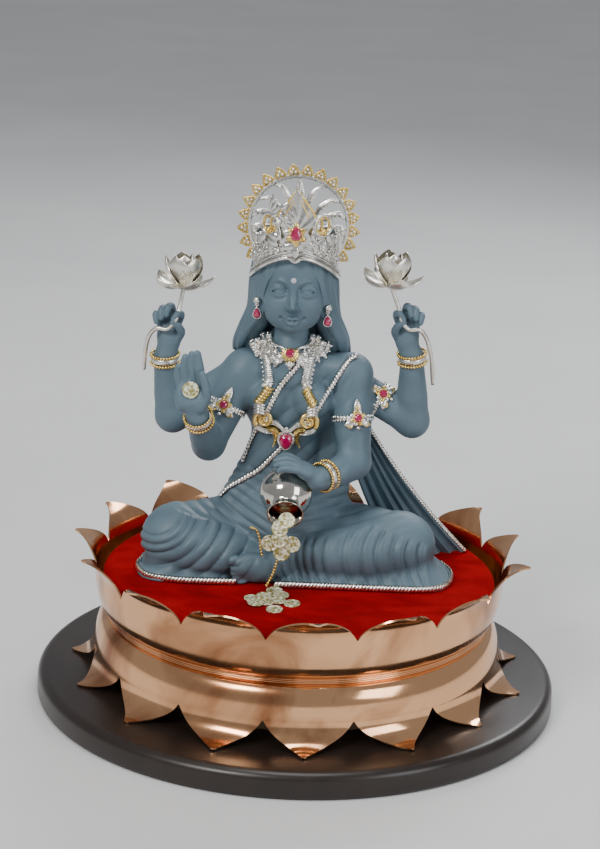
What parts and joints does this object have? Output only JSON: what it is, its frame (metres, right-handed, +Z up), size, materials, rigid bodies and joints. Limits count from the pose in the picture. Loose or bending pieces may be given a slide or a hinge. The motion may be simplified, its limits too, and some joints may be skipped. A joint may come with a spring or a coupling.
{
  "type": "deity statuette",
  "caption": "Seated four-armed goddess statuette with a crown and halo, jewellery, held lotus flowers and a tipped coin pot, on a copper lotus seat with a round wooden plinth.",
  "frame": {"origin": "centre of the plinth's underside", "axes": "+Z up, the figure faces -Y, the figure's own left hand is towards +X"},
  "size_m": [0.4, 0.4, 0.409],
  "materials": {
    "wood_dark": "satin dark-stained turned wood",
    "wood_pale": "unfinished softwood and plywood, hidden",
    "copper": "polished copper sheet, lightly tarnished",
    "velvet": "deep red velvet",
    "slate": "matte slate-grey cast figure",
    "silver": "polished silver plate",
    "gilt": "gilt",
    "ruby": "cut red glass",
    "steel": "plain steel"
  },
  "bodies": {
    "statuette": {"wood_plinth": "wood_dark", "lower_core": "wood_pale", "lotus_skirt": "copper", "waist_collar": "copper", "lotus_bowl": "copper", "upper_core": "wood_pale", "seat_board": "wood_pale", "velvet_cover": "velvet", "tie_bolt": "steel", "tie_nut": "steel", "seat_screws": "steel", "figure_body": "slate", "head_and_hair": "slate", "front_right_arm": "slate", "front_left_arm": "slate", "rear_right_arm": "slate", "rear_left_arm": "slate", "shawl_tail": "slate", "arm_dowels": "steel", "crown": "silver", "crown_bezel": "gilt", "crown_gem": "ruby", "halo_ring": "silver", "halo_flames": "silver", "halo_buds": "gilt", "forehead_gem": "silver", "earring_studs": "silver", "choker": "silver", "choker_pendant": "gilt", "choker_gem": "ruby", "necklace_strands": "silver", "necklace_scrolls": "gilt", "necklace_bezel": "silver", "necklace_gem": "ruby", "sari_borders": "silver", "hem_border": "silver", "shawl_border": "silver", "armlet_front_right": "silver", "armlet_front_left": "silver", "armlet_rear_right": "silver", "armlet_rear_left": "silver", "armlet_gems": "ruby", "bangle_front_right": "gilt", "bangle_front_left": "gilt", "bangle_rear_right": "gilt", "bangle_rear_left": "gilt", "anklet_chain": "gilt", "pot": "silver", "pot_coins": "gilt", "seat_coins": "gilt", "palm_coin": "gilt", "lotus_right_flower": "silver", "lotus_right_stem": "silver", "lotus_left_flower": "silver", "lotus_left_stem": "silver"},
    "right_earring": {"earring_right_drop": "silver", "earring_right_gem": "ruby"},
    "left_earring": {"earring_left_drop": "silver", "earring_left_gem": "ruby"}
  },
  "joints": [
    {"name": "right_earring_swing", "type": "hinge", "parent": "statuette", "child": "right_earring", "pos_m": [-0.039, -0.01, 0.3075], "axis": [-1, 0, 0], "range_deg": [-4, 50]},
    {"name": "left_earring_swing", "type": "hinge", "parent": "statuette", "child": "left_earring", "pos_m": [0.0135, -0.01, 0.3035], "axis": [-1, 0, 0], "range_deg": [-4, 50]}
  ]
}
